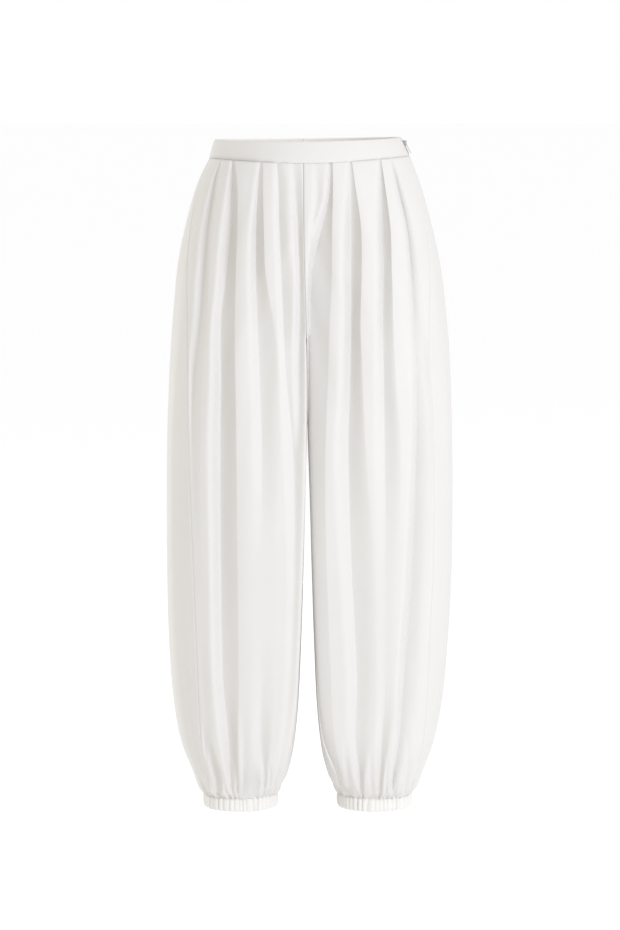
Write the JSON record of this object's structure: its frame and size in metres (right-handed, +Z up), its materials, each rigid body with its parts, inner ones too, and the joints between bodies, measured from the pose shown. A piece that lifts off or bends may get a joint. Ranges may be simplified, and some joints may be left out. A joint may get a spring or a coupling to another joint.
{
  "type": "shalwar",
  "caption": "Loose pleated shalwar on a plain side-zipped waistband, with full legs gathered into elastic ankle cuffs, held open as if worn.",
  "frame": {"origin": "middle of the waistband's ring, at half its height", "axes": "+Z up, front of the garment towards -Y, the wearer's left towards +X"},
  "size_m": [0.4097, 0.2445, 0.9599],
  "materials": {
    "cloth": "smooth matt crepe, off-white",
    "zip_tape": "plain knitted tape, off-white",
    "zip_metal": "satin grey-white lacquer",
    "hook_wire": "dull nickel"
  },
  "bodies": {
    "garment": {"waistband_front": "cloth", "waistband_back_left": "cloth", "waistband_back_right": "cloth", "leg_front_left": "cloth", "leg_front_right": "cloth", "leg_back_left": "cloth", "leg_back_right": "cloth", "cuff_left": "cloth", "cuff_right": "cloth", "zip_tape": "zip_tape", "zip_slider": "zip_metal", "hook": "hook_wire", "eye": "hook_wire"},
    "pull_tab": {"zip_pull_tab": "zip_metal"}
  },
  "joints": [
    {"name": "pull_tab_swing", "type": "hinge", "parent": "garment", "child": "pull_tab", "pos_m": [0.13699, -0.0116, 0.00942], "axis": [-0.1613, -0.9852, -0.0577], "range_deg": [0, 160]}
  ]
}
